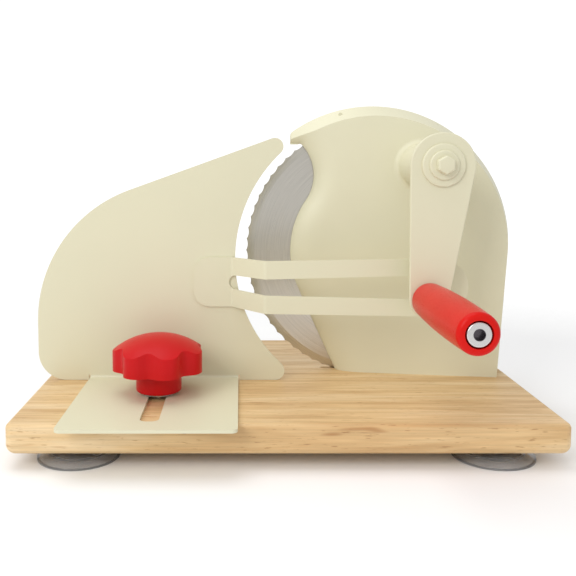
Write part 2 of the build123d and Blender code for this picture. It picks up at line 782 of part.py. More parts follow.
def crank_handle():
    """Barrel grip that turns on its screw, recessed at the front for the screw's head."""
    end_r = handle_end_dia / 2
    mid_r = handle_mid_dia / 2
    recess_deep = handle_head_high + handle_gap
    bore_r = handle_shank_dia / 2 + run_gap
    rear = arm_front_y - handle_gap
    front = rear - handle_length
    long = handle_length
    outline = [
        Line((bore_r, recess_deep), (handle_recess_dia / 2, recess_deep)),
        Line((handle_recess_dia / 2, recess_deep), (handle_recess_dia / 2, 0)),
        Line((handle_recess_dia / 2, 0), (end_r, 0)),
        ThreePointArc((end_r, 0), (mid_r, long / 2), (end_r, long)),
        Line((end_r, long), (bore_r, long)),
        Line((bore_r, long), (bore_r, recess_deep)),
    ]
    grip = Pos(handle_x, front, handle_z) * revolve(make_face(outline), Axis.Y)
    grip = fillet(edges_at(grip, Axis.Y, front).sort_by(Edge.length)[-1], handle_front_round)
    return fillet(edges_at(grip, Axis.Y, rear).sort_by(Edge.length)[-1], handle_rear_round)


def handle_bolt():
    """Shouldered socket screw: head in the grip's recess, shank for the grip, thread."""
    rear = arm_front_y - handle_gap
    head_front = rear - handle_length
    head_rear = head_front + handle_head_high
    bolt = rod(handle_x, handle_z, head_front, head_rear, handle_head_dia)
    bolt = fillet(edges_at(bolt, Axis.Y, head_front), 0.8)
    bolt += rod(handle_x, handle_z, head_rear, arm_front_y, handle_shank_dia)
    tail = arm_rear_y + handle_nut_high
    bolt += rod(handle_x, handle_z, arm_front_y, tail, handle_thread_dia)
    socket = Pos(handle_x, handle_z, 0) * hexagon(handle_socket_flats)
    return bolt - slab(on_front(socket), head_front - 1, head_front + handle_socket_deep)


def handle_nut():
    outline = Pos(handle_x, handle_z, 0) * hexagon(handle_nut_flats)
    nut = slab(on_front(outline), arm_rear_y, arm_rear_y + handle_nut_high)
    thread = handle_thread_dia + 2 * seat_gap
    return nut - rod(handle_x, handle_z, arm_rear_y - 1, rear_y, thread)


# ---------------------------------------------------------------- fence and slice guard
def fence_outline():
    """Tall plate: round shoulder, straight slope, round tip, hollow edge beside the blade."""
    base = foot_low
    left = -right_x - fence_side_overhang
    shoulder_x = left + fence_shoulder_r
    shoulder_z = deck_z + fence_shoulder_rise
    shoulder_end = polar(shoulder_x, shoulder_z, fence_shoulder_r, 90 + fence_slope)
    arc_z = blade_z - fence_arc_drop
    arc_r = blade_r + fence_blade_gap

    # The tip's circle touches the sloping line from below and the hollow edge from outside.
    slope = radians(fence_slope)
    line_x, line_z = polar(shoulder_x, shoulder_z, fence_shoulder_r - fence_tip_r, 90 + fence_slope)
    to_x, to_z = line_x - blade_x, line_z - arc_z
    along = to_x * cos(slope) + to_z * sin(slope)
    rest = to_x ** 2 + to_z ** 2 - (arc_r + fence_tip_r) ** 2
    run = -along - sqrt(along ** 2 - rest)
    tip_x, tip_z = line_x + run * cos(slope), line_z + run * sin(slope)
    tip_start = polar(tip_x, tip_z, fence_tip_r, 90 + fence_slope)
    tip_turn = degrees(atan2(arc_z - tip_z, blade_x - tip_x))
    tip_end = polar(tip_x, tip_z, fence_tip_r, tip_turn)
    tip_mid = polar(tip_x, tip_z, fence_tip_r, (90 + fence_slope + tip_turn) / 2)

    # The low corner's circle touches the bottom and the hollow edge.
    low_z = base + fence_low_tip_r
    low_x = blade_x - sqrt((arc_r + fence_low_tip_r) ** 2 - (arc_z - low_z) ** 2)
    low_turn = degrees(atan2(arc_z - low_z, blade_x - low_x))
    low_start = polar(low_x, low_z, fence_low_tip_r, low_turn)
    low_mid = polar(low_x, low_z, fence_low_tip_r, (low_turn - 90) / 2)
    corner_x, corner_z = left + fence_low_corner_r, base + fence_low_corner_r
    arc_mid = polar(blade_x, arc_z, arc_r, 180 + (low_turn + tip_turn) / 2)
    return make_face([
        Line((corner_x, base), (low_x, base)),
        ThreePointArc((low_x, base), low_mid, low_start),
        ThreePointArc(low_start, arc_mid, tip_end),
        ThreePointArc(tip_end, tip_mid, tip_start),
        Line(tip_start, shoulder_end),
        ThreePointArc(
            shoulder_end,
            polar(shoulder_x, shoulder_z, fence_shoulder_r, 135 + fence_slope / 2),
            (left, shoulder_z),
        ),
        Line((left, shoulder_z), (left, corner_z)),
        ThreePointArc(
            (left, corner_z), polar(corner_x, corner_z, fence_low_corner_r, 225), (corner_x, base)
        ),
    ])


def fence():
    """One bent sheet: tall plate, and a slotted foot that lies on the board."""
    plate = slab(on_front(fence_outline()), fence_front_y, fence_rear_y)
    foot_right = foot_left + foot_width
    bend_top = foot_top + bend_r
    window = (foot_left - relief_wide, foot_right + relief_wide)
    plate -= block(*window, fence_front_y - 1, fence_rear_y + 1, foot_low - 1, bend_top)

    outer_r = bend_r + fence_thick
    start_y = fence_front_y - bend_r
    tip_y = front_y - foot_front_overhang
    section = make_face([
        Line((tip_y, foot_low), (start_y, foot_low)),
        RadiusArc((start_y, foot_low), (fence_rear_y, foot_low + outer_r), -outer_r),
        Line((fence_rear_y, foot_low + outer_r), (fence_front_y, foot_low + outer_r)),
        RadiusArc((fence_front_y, foot_low + outer_r), (start_y, foot_top), bend_r),
        Line((start_y, foot_top), (tip_y, foot_top)),
        Line((tip_y, foot_top), (tip_y, foot_low)),
    ])
    side_plane = Plane(origin=(foot_left, 0, 0), x_dir=(0, 1, 0), z_dir=(1, 0, 0))
    foot = extrude(side_plane * section, foot_width)
    front_corners = foot.edges().filter_by(Axis.Z).sort_by(Axis.Y)[:2]
    foot = fillet(front_corners, foot_corner_r)

    slot_front = knob_y - slot_front_len
    slot_back = knob_y + slot_behind_stud
    slot = Pos(knob_x, (slot_front + slot_back) / 2, 0) * RectangleRounded(
        slot_wide, slot_back - slot_front, slot_end_r
    )
    foot -= extrude(Pos(0, 0, foot_low) * slot, 3 * fence_thick, both=True)
    return plate + foot


def guard_outline():
    """Side view of the guard: square tab, two bars that fan out, long round-ended slot."""
    tab_half = guard_tab_high / 2
    end_half = guard_right_high / 2
    end_x = guard_right - end_half
    body = make_face([
        Line((guard_tab_left, -tab_half), (guard_tab_left, tab_half)),
        Line((guard_tab_left, tab_half), (guard_joggle_start, tab_half)),
        Line((guard_joggle_start, tab_half), (end_x, end_half)),
        ThreePointArc((end_x, end_half), (guard_right, 0), (end_x, -end_half)),
        Line((end_x, -end_half), (guard_joggle_start, -tab_half)),
        Line((guard_joggle_start, -tab_half), (guard_tab_left, -tab_half)),
    ])
    corners = body.vertices().sort_by(Axis.X)[:2]
    body = fillet(corners, guard_tab_corner)
    slot_end_half = end_half - guard_bar_high
    slot_half = guard_slot_left_high / 2
    slot_x = guard_slot_left + slot_half
    slot = make_face([
        ThreePointArc((slot_x, -slot_half), (guard_slot_left, 0), (slot_x, slot_half)),
        Line((slot_x, slot_half), (end_x, slot_end_half)),
        ThreePointArc(
            (end_x, slot_end_half), (end_x + slot_end_half, 0), (end_x, -slot_end_half)
        ),
        Line((end_x, -slot_end_half), (slot_x, -slot_half)),
    ])
    return body - slot


def slice_guard():
    """Steel strip welded flat on the fence, stepped forward, with two bars past the slice."""
    rear = guard_front_y + guard_thick
    back = fence_front_y
    centre = [
        (guard_tab_left - 5, back - guard_thick / 2),
        (guard_joggle_start, back - guard_thick / 2),
        (guard_joggle_end, rear - guard_thick / 2),
        (guard_right + 5, rear - guard_thick / 2),
    ]
    path = FilletPolyline(*centre, radius=guard_bend_r)
    strip = offset(path, guard_thick / 2, side=Side.BOTH, kind=Kind.TANGENT)
    high = 2 * guard_right_high
    sheet = extrude(Pos(0, 0, guard_z - high / 2) * make_face(strip), high)
    outline = Pos(0, guard_z, 0) * guard_outline()
    return sheet & slab(on_front(outline), guard_front_y - 5, fence_front_y + 5)


# ---------------------------------------------------------------- clamp knob
def star_face():
    """Lobes and hollows as arcs that run into each other."""
    half = 180 / knob_lobes
    ring = knob_tip_r - knob_lobe_r
    # Radius of the hollow's arc so that it touches both neighbouring lobes.
    near = ring ** 2 + knob_valley_r ** 2 - 2 * ring * knob_valley_r * cos(radians(half))
    hollow_r = (near - knob_lobe_r ** 2) / (
        2 * (knob_lobe_r - knob_valley_r + ring * cos(radians(half)))
    )
    hollow_ring = knob_valley_r + hollow_r
    share = knob_lobe_r / (knob_lobe_r + hollow_r)
    arcs = []
    for k in range(knob_lobes):
        turn = knob_phase + k * 2 * half
        lobe = Vector(*polar(0, 0, ring, turn))
        before = Vector(*polar(0, 0, hollow_ring, turn - half))
        after = Vector(*polar(0, 0, hollow_ring, turn + half))
        following = Vector(*polar(0, 0, ring, turn + 2 * half))
        start = lobe + (before - lobe) * share
        end = lobe + (after - lobe) * share
        resume = following + (after - following) * share
        arcs.append(ThreePointArc(start, Vector(*polar(0, 0, knob_tip_r, turn)), end))
        arcs.append(
            ThreePointArc(end, Vector(*polar(0, 0, knob_valley_r, turn + half)), resume)
        )
    return make_face(arcs)


def clamp_knob():
    """Moulded star knob: round hub, seven lobes, low dome on top, blind hole for its stud."""
    star_low = hub_low + knob_hub_long
    star_top = star_low + knob_star_thick
    hub = post(0, 0, hub_low, star_low + 1, knob_hub_dia)
    hub = fillet(edges_at(hub, Axis.Z, hub_low), 1.6)
    star = extrude(Pos(0, 0, star_low) * star_face(), knob_star_thick)
    star = fillet(edges_at(star, Axis.Z, star_top), knob_star_round)
    star = fillet(edges_at(star, Axis.Z, star_low), knob_star_round * 0.6)
    ball_r = (knob_dome_r ** 2 + knob_dome_high ** 2) / (2 * knob_dome_high)
    ball = Pos(0, 0, star_top + knob_dome_high - ball_r) * Sphere(ball_r)
    dome = ball & post(0, 0, star_top - 0.5, star_top + 2 * knob_dome_high, 2 * knob_dome_r)
    knob = hub + star + dome
    knob -= post(0, 0, hub_low - 1, hub_low + stud_sunk, stud_dia)
    return Pos(knob_x, knob_y, 0) * knob


def knob_stud():
    return post(knob_x, knob_y, deck_z - stud_engage, hub_low + stud_sunk, stud_dia)


def knob_washer():
    washer = post(knob_x, knob_y, washer_low, washer_low + knob_washer_thick, knob_washer_dia)
    return washer - post(knob_x, knob_y, washer_low - 1, hub_low + 1, stud_dia + 2 * run_gap)


def threaded_insert():
    insert = post(knob_x, knob_y, deck_z - insert_long, deck_z, insert_dia)
    return insert - post(knob_x, knob_y, 0, deck_z + 1, stud_dia + 2 * run_gap)


# ---------------------------------------------------------------- write the pieces
pieces = {
    "base_board": base_board,
    "cup_screws": cup_screws,
    "housing": housing,
    "housing_screws": housing_screws,
    "crank_bushes": crank_bushes,
    "rear_cover": rear_cover,
    "cover_screws": lambda: sunk_screws(
        rim_screw_places(), rim_y + cover_thick, cover_screw_dia, cover_screw_head_dia,
        cover_thick + cover_screw_bite,
    ),
    "blade_axle": blade_axle,
    "blade_washer": blade_washer,
    "blade_screw": blade_screw,
    "blade": blade,
    "blade_gear": blade_gear,
    "gear_screws": gear_screws,
    "blade_bush": blade_bush,
    "crank_shaft": crank_shaft,
    "crank_pinion": crank_pinion,
    "crank_arm": crank_arm,
    "arm_washer_large": lambda: arm_washer(washer_large_r, arm_front_y),
    "arm_washer_small": lambda: arm_washer(washer_small_r, arm_front_y - washer_step),
    "crank_bolt": crank_bolt,
    "crank_handle": crank_handle,
    "handle_bolt": handle_bolt,
    "handle_nut": handle_nut,
    "fence": fence,
    "slice_guard": slice_guard,
    "clamp_knob": clamp_knob,
    "knob_stud": knob_stud,
    "knob_washer": knob_washer,
    "threaded_insert": threaded_insert,
}
cup_names = ("front_left", "front_right", "rear_left", "rear_right")

for name, make in pieces.items():
    export_step(make(), f"parts/{name}.step")
for name, place in zip(cup_names, cup_places):
    export_step(suction_cup(*place), f"parts/suction_cup_{name}.step")
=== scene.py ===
from math import cos, pi, radians

import bpy
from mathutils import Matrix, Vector


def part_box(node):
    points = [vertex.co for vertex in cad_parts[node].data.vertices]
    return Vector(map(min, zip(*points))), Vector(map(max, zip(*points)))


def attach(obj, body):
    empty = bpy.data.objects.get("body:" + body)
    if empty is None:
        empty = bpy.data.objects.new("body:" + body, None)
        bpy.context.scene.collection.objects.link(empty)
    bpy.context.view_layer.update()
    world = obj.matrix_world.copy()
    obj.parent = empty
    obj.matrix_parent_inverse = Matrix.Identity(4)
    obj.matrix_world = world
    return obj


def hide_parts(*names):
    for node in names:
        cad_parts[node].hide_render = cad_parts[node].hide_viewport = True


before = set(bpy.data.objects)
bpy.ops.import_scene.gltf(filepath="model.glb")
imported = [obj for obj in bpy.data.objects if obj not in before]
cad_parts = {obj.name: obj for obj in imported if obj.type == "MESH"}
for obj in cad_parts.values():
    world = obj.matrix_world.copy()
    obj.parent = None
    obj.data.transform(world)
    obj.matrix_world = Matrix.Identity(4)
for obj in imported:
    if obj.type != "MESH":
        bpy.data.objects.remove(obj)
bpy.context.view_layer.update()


# ---------------------------------------------------------------- table, light and camera
# The slicer stands on plain white paper under soft studio light: even light from all round, a wide
# lamp in front on the left and weaker ones above and on the right. The camera is a little above
# the board.
MM = 0.001
photo_side = 576.0
sensor_wide = 36.0
focal_pixels = 757.7
centre_pixel = (240.0, 229.6)
board_low, board_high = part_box("base_board")
eye_x = -28.7 * MM
eye_in_front = 435.1 * MM
eye_above_board = 149.5 * MM
eye_down = 4.5
nearest_seen = 10 * MM
paper_side = 12.0
paper_solid_radius = 0.40
paper_end_radius = 0.75


def place_camera():
    data = bpy.data.cameras.new("photo_camera")
    data.sensor_width = sensor_wide
    data.lens = focal_pixels / photo_side * sensor_wide
    data.shift_x = (photo_side / 2 - centre_pixel[0]) / photo_side
    data.shift_y = -(photo_side / 2 - centre_pixel[1]) / photo_side
    data.clip_start = nearest_seen
    camera = bpy.data.objects.new("photo_camera", data)
    camera.location = (eye_x, board_low[1] - eye_in_front, board_high[2] + eye_above_board)
    camera.rotation_euler = (radians(90 - eye_down), 0, 0)
    bpy.context.collection.objects.link(camera)
    bpy.context.scene.camera = camera


def soft_light(name, place, aim, size, watts):
    data = bpy.data.lights.new(name, "AREA")
    data.shape = "RECTANGLE"
    data.size, data.size_y = size
    data.energy = watts
    light = bpy.data.objects.new(name, data)
    light.location = place
    way = Vector(aim) - Vector(place)
    light.rotation_euler = way.to_track_quat("-Z", "Y").to_euler()
    bpy.context.collection.objects.link(light)


def add_node(tree, kind, **values):
    """Node of one kind with its inputs and settings given by name."""
    node = tree.nodes.new(kind)
    for name, value in values.items():
        if name in node.inputs:
            node.inputs[name].default_value = value
        else:
            setattr(node, name, value)
    return node


def feed(tree, socket, value):
    """Give a socket what it needs: a link, a colour or a number."""
    if isinstance(value, bpy.types.NodeSocket):
        tree.links.new(value, socket)
    elif isinstance(value, tuple):
        socket.default_value = (*value, 1)
    else:
        socket.default_value = value


def map_range(tree, value, given, wanted=(0.0, 1.0)):
    """Spread a value from one range over another, whose ends are numbers or sockets."""
    node = add_node(tree, "ShaderNodeMapRange")
    tree.links.new(value, node.inputs["Value"])
    for name, end in zip(("From Min", "From Max", "To Min", "To Max"), (*given, *wanted)):
        feed(tree, node.inputs[name], end)
    return node.outputs["Result"]


def white_room(light_strength, backdrop_strength):
    """White all round; the backdrop seen behind the object is brighter than the light it gives."""
    room = bpy.data.worlds.new("white_room")
    room.use_nodes = True
    tree = room.node_tree
    background = tree.nodes["Background"]
    background.inputs["Color"].default_value = (1, 1, 1, 1)
    path = add_node(tree, "ShaderNodeLightPath")
    strength = map_range(
        tree, path.outputs["Is Camera Ray"], (0.0, 1.0), (light_strength, backdrop_strength)
    )
    tree.links.new(strength, background.inputs["Strength"])
    bpy.context.scene.world = room


def new_material(name, colour, roughness, metallic=0.0):
    """Material with one Principled shader; the colour is in linear light."""
    material = bpy.data.materials.new(name)
    material.use_nodes = True
    tree = material.node_tree
    shader = tree.nodes["Principled BSDF"]
    shader.inputs["Base Color"].default_value = (*colour, 1)
    shader.inputs["Roughness"].default_value = roughness
    shader.inputs["Metallic"].default_value = metallic
    material.diffuse_color = (*colour, 1)
    return material, tree, shader


def paper_material():
    """White paper that fades out far from the slicer, so that no horizon shows."""
    paper, tree, shader = new_material("white_paper", (0.94, 0.94, 0.94), 0.7)
    coordinates = add_node(tree, "ShaderNodeTexCoord")
    distance = add_node(tree, "ShaderNodeVectorMath", operation="LENGTH")
    tree.links.new(coordinates.outputs["Object"], distance.inputs[0])
    solid = map_range(
        tree, distance.outputs["Value"], (paper_solid_radius, paper_end_radius), (1.0, 0.0)
    )
    tree.links.new(solid, shader.inputs["Alpha"])
    return paper


place_camera()
soft_light("left_lamp", (-1.0, -1.25, 0.95), (0, 0, 0.1), (0.8, 0.8), 12)
soft_light("top_lamp", (-0.3, 0.0, 1.3), (0, 0, 0.05), (0.9, 0.9), 5)
soft_light("right_lamp", (1.3, -0.6, 0.6), (0, 0, 0.1), (0.6, 0.8), 0.8)
white_room(0.74, 1.1)
bpy.context.scene.view_settings.view_transform = "Standard"

bpy.ops.object.select_all(action="DESELECT")
bpy.ops.mesh.primitive_plane_add(size=paper_side, location=(0, 0, 0))
table = bpy.context.object
table.name = "white_paper"
table.data.materials.append(paper_material())


# ---------------------------------------------------------------- board
# Light hardwood board, planed, rounded on all edges and oiled. The grain runs along its length,
# with long pale and dark streaks on top and short dark pores on the front edge.
def object_pattern(tree, scale=(1, 1, 1), location=(0, 0, 0)):
    """Object coordinates, in metres, moved and scaled."""
    coordinates = add_node(tree, "ShaderNodeTexCoord")
    mapping = add_node(tree, "ShaderNodeMapping", Location=location, Scale=scale)
    tree.links.new(coordinates.outputs["Object"], mapping.inputs["Vector"])
    return mapping.outputs["Vector"]


def noise(tree, vector, scale, detail=2.0, roughness=0.5, distortion=0.0):
    node = add_node(
        tree, "ShaderNodeTexNoise",
        Scale=scale, Detail=detail, Roughness=roughness, Distortion=distortion,
    )
    tree.links.new(vector, node.inputs["Vector"])
    return node.outputs["Fac"]


def ramp(tree, value, *stops):
    """Colour ramp; each stop is (place, linear colour)."""
    node = add_node(tree, "ShaderNodeValToRGB")
    while len(node.color_ramp.elements) < len(stops):
        node.color_ramp.elements.new(0.5)
    for element, (place, colour) in zip(node.color_ramp.elements, stops):
        element.position = place
        element.color = (*colour, 1)
    tree.links.new(value, node.inputs["Fac"])
    return node.outputs["Color"]


def grey(level):
    return (level, level, level)


def mix(tree, factor, a, b, blend="MIX"):
    """Colour mix; a, b and the factor are sockets, colours or numbers."""
    node = add_node(tree, "ShaderNodeMix", data_type="RGBA", blend_type=blend)
    for index, value in ((0, factor), (6, a), (7, b)):
        feed(tree, node.inputs[index], value)
    return node.outputs[2]


def bump(tree, shader, height, strength, distance):
    node = add_node(tree, "ShaderNodeBump", Strength=strength, Distance=distance)
    tree.links.new(height, node.inputs["Height"])
    tree.links.new(node.outputs["Normal"], shader.inputs["Normal"])


def dress(name, material):
    """Give a CAD node its material."""
    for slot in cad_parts[name].material_slots:
        slot.material = material


def wood_material():
    wood, tree, shader = new_material("oiled_hardwood", (0.64, 0.45, 0.24), 0.45)
    streaks = noise(tree, object_pattern(tree, (1.2, 14, 14)), 7.0, 3.0, 0.6, 0.4)
    fibres = noise(tree, object_pattern(tree, (4, 160, 160)), 5.0, 3.0, 0.6, 0.1)
    pores = noise(tree, object_pattern(tree, (45, 420, 420)), 3.0, 2.0, 0.5)
    knots = noise(tree, object_pattern(tree, (9, 60, 60), (0.3, 0, 0)), 3.0, 1.0)
    base = ramp(
        tree, streaks,
        (0.30, (0.60, 0.375, 0.165)), (0.50, (0.73, 0.505, 0.250)), (0.72, (0.83, 0.630, 0.375)),
    )
    lines = ramp(tree, fibres, (0.35, grey(0.86)), (0.62, grey(1.0)))
    dashes = ramp(tree, pores, (0.27, (0.56, 0.42, 0.30)), (0.36, grey(1.0)))
    marks = ramp(tree, knots, (0.22, (0.62, 0.44, 0.30)), (0.30, grey(1.0)))
    colour = base
    for strength, layer in ((1.0, lines), (0.75, dashes), (0.7, marks)):
        colour = mix(tree, strength, colour, layer, "MULTIPLY")
    tree.links.new(colour, shader.inputs["Base Color"])
    dull = ramp(tree, fibres, (0.3, grey(0.55)), (0.7, grey(0.40)))
    tree.links.new(dull, shader.inputs["Roughness"])
    bump(tree, shader, mix(tree, 0.5, fibres, pores), 0.25, 0.3 * MM)
    return wood


dress("base_board", wood_material())


# ---------------------------------------------------------------- suction cups
# Four clear soft plastic cups with raised rings, moulded in one piece. Each is held up under the
# board by a zinc screw through its neck.
def fine_surface_group():
    """Small unevenness of a made surface: cloudy tone, uneven roughness and fine relief."""
    group = bpy.data.node_groups.new("fine_surface", "ShaderNodeTree")
    for way, names in (
        ("INPUT", ("Cloud Scale", "Grain Scale", "Rough Low", "Rough High", "Tone Low")),
        ("OUTPUT", ("Tone", "Roughness", "Relief")),
    ):
        for name in names:
            group.interface.new_socket(name, in_out=way, socket_type="NodeSocketFloat")
    given = add_node(group, "NodeGroupInput").outputs
    result = add_node(group, "NodeGroupOutput").inputs
    place = object_pattern(group)

    def scaled_noise(scale_name, detail):
        node = add_node(group, "ShaderNodeTexNoise", Detail=detail, Roughness=0.55)
        group.links.new(place, node.inputs["Vector"])
        group.links.new(given[scale_name], node.inputs["Scale"])
        return node.outputs["Fac"]

    middle_noise = (0.3, 0.7)
    cloud = scaled_noise("Cloud Scale", 2.0)
    grain = scaled_noise("Grain Scale", 3.0)
    tone = map_range(group, cloud, middle_noise, (given["Tone Low"], 1.0))
    rough = map_range(group, grain, middle_noise, (given["Rough Low"], given["Rough High"]))
    group.links.new(tone, result["Tone"])
    group.links.new(rough, result["Roughness"])
    group.links.new(grain, result["Relief"])
    return group


fine_surface = fine_surface_group()


def made_surface(name, colour, roughness, relief, metallic=0.0, **surface):
    """Material with the fine surface in it; colour is its brightest tone."""
    material, tree, shader = new_material(name, colour, roughness, metallic)
    node = add_node(tree, "ShaderNodeGroup", node_tree=fine_surface)
    for key, value in surface.items():
        node.inputs[key.replace("_", " ").title()].default_value = value
    tone = mix(tree, 1.0, colour, node.outputs["Tone"], "MULTIPLY")
    tree.links.new(tone, shader.inputs["Base Color"])
    tree.links.new(node.outputs["Roughness"], shader.inputs["Roughness"])
    bump(tree, shader, node.outputs["Relief"], relief, 0.2 * MM)
    return material, shader


clear_plastic, clear_shader = made_surface(
    "clear_soft_plastic", (0.90, 0.90, 0.91), 0.12, 0.04,
    cloud_scale=60.0, grain_scale=400.0, rough_low=0.08, rough_high=0.18, tone_low=0.94,
)
clear_shader.inputs["Transmission Weight"].default_value = 0.85
clear_shader.inputs["IOR"].default_value = 1.45
for corner in ("front_left", "front_right", "rear_left", "rear_right"):
    dress(f"suction_cup_{corner}", clear_plastic)


# ---------------------------------------------------------------- cream painted metal
# The cast housing and the bent steel pieces share one satin cream coating, a little uneven on the
# casting and smoother on the sheet. The rear cover's screws are shown with the same coating, though
# the CAD lists them as zinc plated.
def coating_material(name, cloud, grain, relief):
    return made_surface(
        name, (0.700, 0.672, 0.488), 0.42, relief,
        cloud_scale=cloud, grain_scale=grain, rough_low=0.36, rough_high=0.50, tone_low=0.965,
    )[0]


cast_cream = coating_material("cast_cream_paint", 16.0, 900.0, 0.10)
sheet_cream = coating_material("sheet_cream_paint", 9.0, 1400.0, 0.05)
dress("housing", cast_cream)
for name in ("rear_cover", "cover_screws", "crank_arm", "fence", "slice_guard"):
    dress(name, sheet_cream)


# ---------------------------------------------------------------- blade
# Round stainless steel blade with a serrated edge, ground in circles round its axis. It turns with
# the large gear behind the housing's face.
def round_axis(tree, name):
    """X and Z from the middle of a node, and the distance from its axis, which runs along Y."""
    low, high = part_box(name)
    middle = [(a + b) / 2 for a, b in zip(low, high)]
    parts = add_node(tree, "ShaderNodeSeparateXYZ")
    pattern = object_pattern(tree, location=[-m for m in middle])
    tree.links.new(pattern, parts.inputs["Vector"])
    flat = add_node(tree, "ShaderNodeCombineXYZ")
    tree.links.new(parts.outputs["X"], flat.inputs["X"])
    tree.links.new(parts.outputs["Z"], flat.inputs["Y"])
    length = add_node(tree, "ShaderNodeVectorMath", operation="LENGTH")
    tree.links.new(flat.outputs["Vector"], length.inputs[0])
    return parts.outputs["X"], parts.outputs["Z"], length.outputs["Value"]


def blade_material():
    """Steel with fine rings that hardly change round the blade."""
    steel, tree, shader = new_material("ground_blade_steel", (0.76, 0.73, 0.67), 0.30, 1.0)
    x, z, radius = round_axis(tree, "blade")
    turn = add_node(tree, "ShaderNodeMath", operation="ARCTAN2")
    tree.links.new(z, turn.inputs[0])
    tree.links.new(x, turn.inputs[1])
    slow = add_node(tree, "ShaderNodeMath", operation="MULTIPLY")
    slow.inputs[1].default_value = 0.0006
    tree.links.new(turn.outputs["Value"], slow.inputs[0])
    rings = add_node(tree, "ShaderNodeCombineXYZ")
    tree.links.new(radius, rings.inputs["X"])
    tree.links.new(slow.outputs["Value"], rings.inputs["Y"])
    grooves = noise(tree, rings.outputs["Vector"], 2600.0, 4.0, 0.7)
    tone = ramp(tree, grooves, (0.3, (0.53, 0.51, 0.46)), (0.7, (0.70, 0.67, 0.61)))
    tree.links.new(tone, shader.inputs["Base Color"])
    rough = ramp(tree, grooves, (0.3, grey(0.26)), (0.7, grey(0.40)))
    tree.links.new(rough, shader.inputs["Roughness"])
    shader.inputs["Anisotropic"].default_value = 0.75
    tangent = add_node(tree, "ShaderNodeTangent", direction_type="RADIAL", axis="Y")
    tree.links.new(tangent.outputs["Tangent"], shader.inputs["Tangent"])
    bump(tree, shader, grooves, 0.12, 0.2 * MM)
    return steel


dress("blade", blade_material())


# ---------------------------------------------------------------- turned steel, zinc and brass
# Shafts and washers are turned steel, screws and nuts are zinc plated, and the bushes and the
# knob's threaded insert are turned brass. Most of them are hidden in the housing or the board.
def metal_material(name, colour, roughness, grain):
    return made_surface(
        name, colour, roughness, 0.06, 1.0, cloud_scale=120.0, grain_scale=grain,
        rough_low=roughness * 0.75, rough_high=roughness * 1.25, tone_low=0.88,
    )[0]


turned_steel = metal_material("turned_steel", (0.52, 0.52, 0.51), 0.30, 700.0)
zinc = metal_material("zinc_plating", (0.70, 0.70, 0.69), 0.28, 500.0)
brass = metal_material("bearing_brass", (0.62, 0.42, 0.16), 0.34, 600.0)
for metal, names in (
    (turned_steel, ("blade_axle", "blade_washer", "crank_shaft", "knob_stud", "knob_washer")),
    (zinc, ("cup_screws", "housing_screws", "gear_screws", "blade_screw", "handle_nut")),
    (brass, ("crank_bushes", "blade_bush", "threaded_insert")),
):
    for name in names:
        dress(name, metal)


# ---------------------------------------------------------------- gears
# The blade's large gear and the crank's pinion are moulded in white nylon. They run behind the
# housing's face, one on the blade and one on the crank's shaft.
nylon, nylon_shader = made_surface(
    "moulded_nylon", (0.78, 0.77, 0.71), 0.45, 0.04,
    cloud_scale=40.0, grain_scale=800.0, rough_low=0.40, rough_high=0.52, tone_low=0.95,
)
nylon_shader.inputs["Subsurface Weight"].default_value = 0.1
for name in ("blade_gear", "crank_pinion"):
    dress(name, nylon)


# ---------------------------------------------------------------- crank head
# Two turned steel discs and a hexagon bolt hold the arm on its shaft, with soft round edges and the
# arm's cream coating. Only what shows is drawn: the discs have no bore and the bolt has no shank.
arm_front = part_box("crank_arm")[0][1]
bolt_low, bolt_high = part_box("crank_bolt")
crank_x, crank_z = [(bolt_low[i] + bolt_high[i]) / 2 for i in (0, 2)]
disc_sides = 96
disc_step = 1.8 * MM
disc_round = 1.1 * MM
large_disc_radius = 14.0 * MM
small_disc_radius = 9.6 * MM
bolt_across_flats = 10.8 * MM
bolt_head_high = 5.0 * MM
bolt_front_round = 1.3 * MM
bolt_corner_round = 0.8 * MM
touch = 0.01 * MM
smooth_angle = radians(32)


def select_in_edit(piece, kind, wanted):
    """Edit mode on one piece, with the vertices, edges or faces chosen that a test names."""
    bpy.ops.object.mode_set(mode="EDIT")
    bpy.ops.mesh.select_mode(type=kind)
    bpy.ops.mesh.select_all(action="DESELECT")
    bpy.ops.object.mode_set(mode="OBJECT")
    mesh = piece.data
    items = {"VERT": mesh.vertices, "EDGE": mesh.edges, "FACE": mesh.polygons}[kind]
    for item in items:
        item.select = wanted(item)
    bpy.ops.object.mode_set(mode="EDIT")


def bevel_edges(piece, wanted, offset, segments):
    """Round the edges whose two end points pass a test."""
    points = piece.data.vertices
    select_in_edit(piece, "EDGE", lambda edge: wanted(*(points[v].co for v in edge.vertices)))
    bpy.ops.mesh.bevel(offset=offset, segments=segments)
    bpy.ops.object.mode_set(mode="OBJECT")


def turned_on_crank(name, sides, radius, front, back, edge_round, corner_round):
    """Disc or hexagon round the crank's axis, its front edge rounded."""
    bpy.ops.object.select_all(action="DESELECT")
    bpy.ops.mesh.primitive_cylinder_add(
        vertices=sides, radius=radius, depth=back - front,
        location=(crank_x, (front + back) / 2, crank_z), rotation=(radians(90), 0, 0),
    )
    piece = bpy.context.object
    piece.name = name
    bpy.ops.object.transform_apply(location=True, rotation=True, scale=True)
    if corner_round:
        bevel_edges(piece, lambda a, b: abs(a.y - b.y) > MM, corner_round, 4)
    bevel_edges(piece, lambda a, b: max(a.y, b.y) < front + touch, edge_round, 5)
    bpy.ops.object.shade_smooth_by_angle(angle=smooth_angle)
    piece.data.materials.append(sheet_cream)
    return piece


